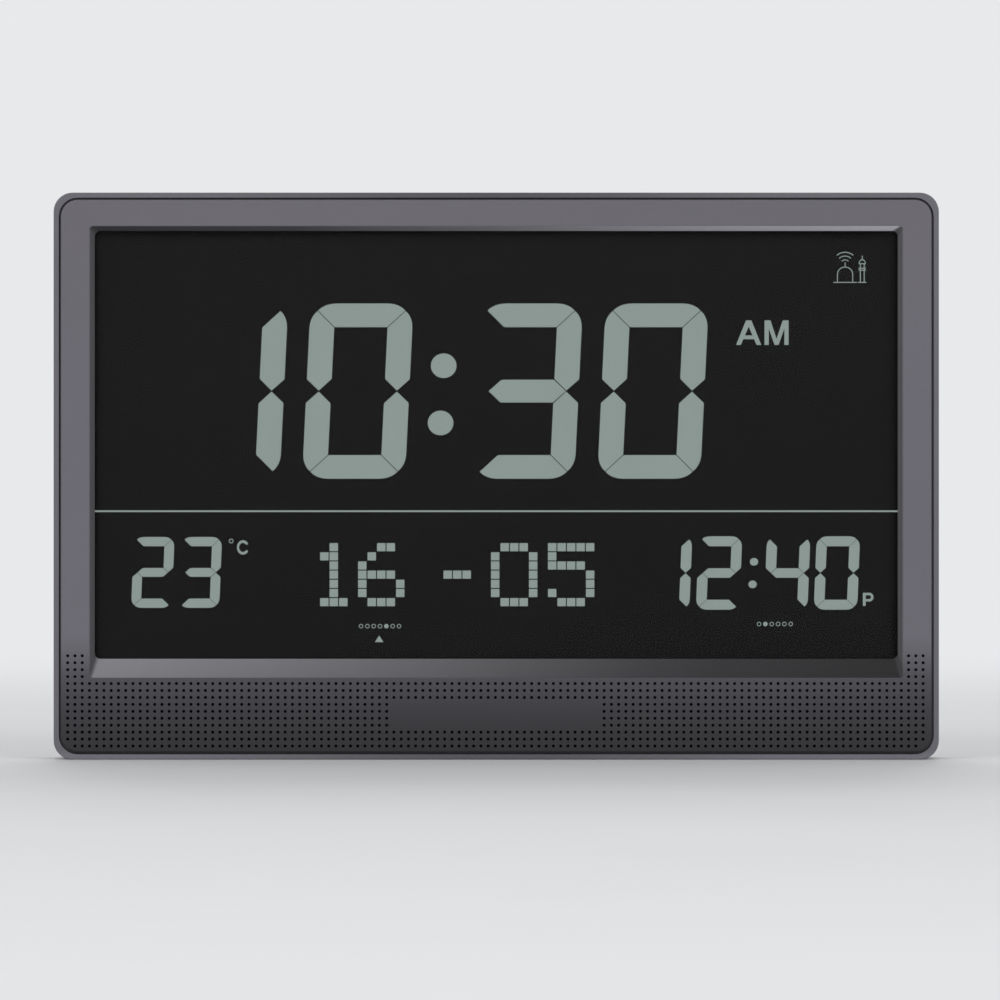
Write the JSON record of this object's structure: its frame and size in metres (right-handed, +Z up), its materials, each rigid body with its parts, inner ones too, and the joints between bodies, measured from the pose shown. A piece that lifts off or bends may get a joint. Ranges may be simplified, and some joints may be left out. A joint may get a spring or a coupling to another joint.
{
  "type": "digital azan clock",
  "caption": "Wide digital desk and wall clock with a lit figure display over a perforated speaker chin, folding back stand, keys, volume wheel and battery door.",
  "frame": {"origin": "middle of the footprint, on the surface that the clock stands on", "axes": "+X to the right seen from the front, +Y from the display to the back, +Z up"},
  "size_m": [0.37, 0.0362, 0.237],
  "materials": {
    "bezel_plastic": "satin",
    "housing_plastic": "matte",
    "lens_plastic": "gloss",
    "mask_film": "satin",
    "display_glass": "gloss",
    "guide_plastic": "gloss",
    "led_board": "satin",
    "reflector_film": "satin",
    "black_plastic": "satin",
    "ribbon_film": "satin",
    "key_ribbon_film": "satin",
    "circuit_board": "satin",
    "chip_plastic": "matte",
    "steel": "satin",
    "capacitor_sleeve": "gloss",
    "speaker_cloth": "matte",
    "cone_paper": "matte",
    "magnet_ferrite": "matte",
    "red_wire": "satin",
    "black_wire": "satin",
    "key_plastic": "satin",
    "control_body": "satin",
    "battery_sleeve": "gloss",
    "spring_nickel": "satin",
    "pad_rubber": "matte"
  },
  "bodies": {
    "case": {"battery_1": "battery_sleeve", "battery_2": "battery_sleeve", "battery_contact_1": "spring_nickel", "battery_contact_2": "spring_nickel", "battery_spring_1": "spring_nickel", "battery_spring_2": "spring_nickel", "battery_wire": "black_wire", "board_screw_1": "steel", "board_screw_2": "steel", "board_screw_3": "steel", "board_screw_4": "steel", "case_screw_1": "steel", "case_screw_2": "steel", "case_screw_3": "steel", "case_screw_4": "steel", "case_screw_5": "steel", "case_screw_6": "steel", "display_glass": "display_glass", "display_holder": "black_plastic", "display_lens": "lens_plastic", "display_ribbon": "ribbon_film", "front_bezel": "bezel_plastic", "key_board": "circuit_board", "key_ribbon": "key_ribbon_film", "led_strip": "led_board", "light_guide": "guide_plastic", "main_board": "circuit_board", "main_chip": "chip_plastic", "power_inlet": "black_plastic", "power_wire": "black_wire", "quartz_crystal": "steel", "rear_housing": "housing_plastic", "reflector_sheet": "reflector_film", "segment_mask": "mask_film", "smoothing_capacitor": "capacitor_sleeve", "sound_chip": "chip_plastic", "speaker_cloth_left": "speaker_cloth", "speaker_cloth_right": "speaker_cloth", "speaker_cone_left": "cone_paper", "speaker_cone_right": "cone_paper", "speaker_frame_left": "steel", "speaker_frame_right": "steel", "speaker_magnet_left": "magnet_ferrite", "speaker_magnet_right": "magnet_ferrite", "speaker_wire_left": "red_wire", "speaker_wire_right": "red_wire", "stand_pin": "steel", "temperature_sensor": "black_plastic", "volume_control": "control_body"},
    "stand": {"stand_leg": "housing_plastic", "stand_foot_pad": "pad_rubber"},
    "battery_door": {"battery_door": "housing_plastic"},
    "mode_key": {"mode_key": "key_plastic"},
    "set_key": {"set_key": "key_plastic"},
    "up_key": {"up_key": "key_plastic"},
    "down_key": {"down_key": "key_plastic"},
    "alarm_key": {"alarm_key": "key_plastic"},
    "light_key": {"light_key": "key_plastic"},
    "volume_wheel": {"volume_wheel": "key_plastic"}
  },
  "joints": [
    {"name": "stand_hinge", "type": "hinge", "parent": "case", "child": "stand", "pos_m": [0, 0.01515, 0.116], "axis": [1, 0, 0], "range_deg": [0, 30]},
    {"name": "battery_door_hinge", "type": "hinge", "parent": "case", "child": "battery_door", "pos_m": [-0.104, 0.01625, 0.0805], "axis": [-1, 0, 0], "range_deg": [0, 75]},
    {"name": "mode_key_press", "type": "slide", "parent": "case", "child": "mode_key", "axis": [0, -1, 0], "range_m": [0, 0.0008], "stiffness_N_per_m": 300},
    {"name": "set_key_press", "type": "slide", "parent": "case", "child": "set_key", "axis": [0, -1, 0], "range_m": [0, 0.0008], "stiffness_N_per_m": 300},
    {"name": "up_key_press", "type": "slide", "parent": "case", "child": "up_key", "axis": [0, -1, 0], "range_m": [0, 0.0008], "stiffness_N_per_m": 300},
    {"name": "down_key_press", "type": "slide", "parent": "case", "child": "down_key", "axis": [0, -1, 0], "range_m": [0, 0.0008], "stiffness_N_per_m": 300},
    {"name": "alarm_key_press", "type": "slide", "parent": "case", "child": "alarm_key", "axis": [0, -1, 0], "range_m": [0, 0.0008], "stiffness_N_per_m": 300},
    {"name": "light_key_press", "type": "slide", "parent": "case", "child": "light_key", "axis": [0, -1, 0], "range_m": [0, 0.0008], "stiffness_N_per_m": 300},
    {"name": "volume_wheel_turn", "type": "hinge", "parent": "case", "child": "volume_wheel", "pos_m": [0.1387, 0.01025, 0.194], "axis": [1, 0, 0], "range_deg": [-135, 135]}
  ]
}
